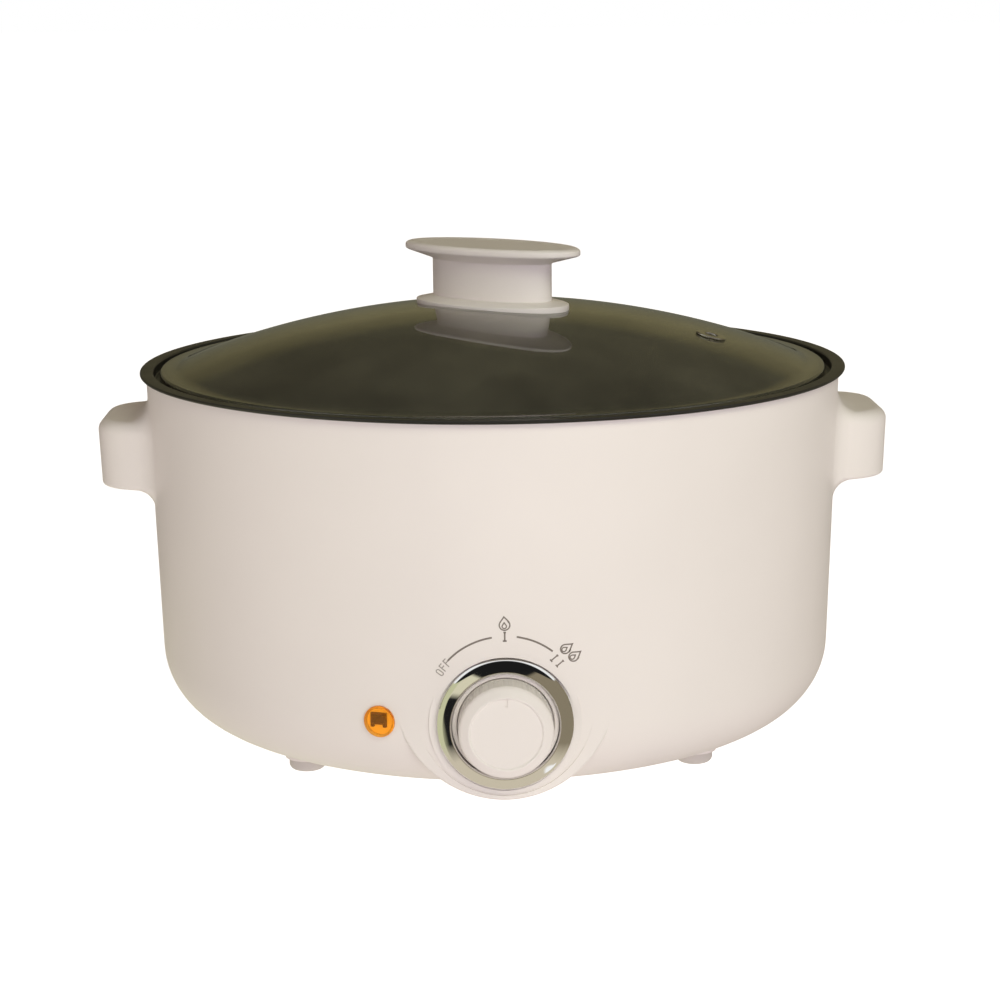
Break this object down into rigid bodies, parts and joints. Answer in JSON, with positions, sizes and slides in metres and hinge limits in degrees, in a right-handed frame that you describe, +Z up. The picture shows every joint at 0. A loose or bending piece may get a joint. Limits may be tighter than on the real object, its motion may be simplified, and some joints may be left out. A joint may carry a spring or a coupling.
{
  "type": "electric hot pot",
  "caption": "Countertop electric hot pot: cream plastic drum with side ears, front dial with chrome ring, pilot lamp, black non-stick pan and lift-off glass lid with an oval knob.",
  "frame": {"origin": "on the drum's vertical axis, level with the undersides of the feet", "axes": "+X through the ear on the right as seen from the dial side, -Y out of the drum at the dial, +Z up"},
  "size_m": [0.3356, 0.3147, 0.2054],
  "materials": {
    "cream_plastic": "satin, cream white",
    "nonstick_aluminium": "black non-stick coating, satin",
    "red_silicone": "matt silicone",
    "clear_silicone": "translucent matt silicone",
    "foot_rubber": "matt",
    "cast_aluminium": "as cast",
    "element_steel": "oxidised sheath",
    "plated_steel": "zinc plated",
    "stainless_steel": "polished",
    "brass": "plain",
    "chrome_ring": "bright",
    "brown_bakelite": "matt",
    "black_plastic": "matt",
    "white_nylon": "matt",
    "glass_fibre": "varnished glass-fibre sleeve",
    "cover_plastic": "fine texture",
    "amber_plastic": "clear amber",
    "bulb_glass": "clear",
    "lid_glass": "polished, tempered",
    "sleeve_nylon": "translucent",
    "brown_wire": "silicone insulation",
    "blue_wire": "silicone insulation",
    "white_wire": "silicone insulation",
    "green_wire": "silicone insulation"
  },
  "bodies": {
    "base": {"housing": "cream_plastic", "pan": "nonstick_aluminium", "pan_seal": "red_silicone", "heater_plate": "cast_aluminium", "heating_element": "element_steel", "element_tabs": "brass", "heat_shield": "plated_steel", "pan_studs": "plated_steel", "stud_spacers": "plated_steel", "stud_washers": "plated_steel", "stud_nuts": "plated_steel", "shield_screws": "plated_steel", "thermostat": "brown_bakelite", "thermostat_tabs": "brass", "thermostat_screws": "plated_steel", "heater_sleeves": "sleeve_nylon", "base_cover": "cover_plastic", "cover_screws": "plated_steel", "dial_bezel": "chrome_ring", "switch_case": "black_plastic", "switch_lid": "black_plastic", "switch_tabs": "brass", "switch_screws": "plated_steel", "switch_sleeves": "sleeve_nylon", "lamp_lens": "amber_plastic", "lamp_clip": "plated_steel", "lamp_plug": "white_nylon", "lamp_shade": "brown_bakelite", "neon_bulb": "bulb_glass", "lamp_wires": "white_wire", "inlet_body": "black_plastic", "inlet_pins": "brass", "inlet_screws": "plated_steel", "inlet_sleeves": "sleeve_nylon", "live_wire": "brown_wire", "neutral_wire": "blue_wire", "thermostat_wire": "brown_wire", "tail_wire": "white_wire", "thermal_fuse": "glass_fibre", "fused_wires": "blue_wire", "earth_tag": "plated_steel", "earth_screw": "plated_steel", "earth_wire": "green_wire", "foot_1": "foot_rubber", "foot_2": "foot_rubber", "foot_3": "foot_rubber", "foot_4": "foot_rubber"},
    "dial": {"dial_knob": "cream_plastic", "switch_rotor": "white_nylon"},
    "lid": {"lid_glass": "lid_glass", "vent_eyelet": "stainless_steel", "lid_knob": "cream_plastic", "knob_base": "cream_plastic", "knob_gasket": "clear_silicone", "knob_insert": "brass", "lower_gasket": "clear_silicone", "knob_washer": "plated_steel", "knob_screw": "plated_steel"}
  },
  "joints": [
    {"name": "lid_lift", "type": "slide", "parent": "base", "child": "lid", "axis": [0, 0, 1], "range_m": [0, 0.1]},
    {"name": "dial_turn", "type": "hinge", "parent": "base", "child": "dial", "pos_m": [0, -0.142, 0.037], "axis": [0, -1, 0], "range_deg": [-45, 45]}
  ]
}
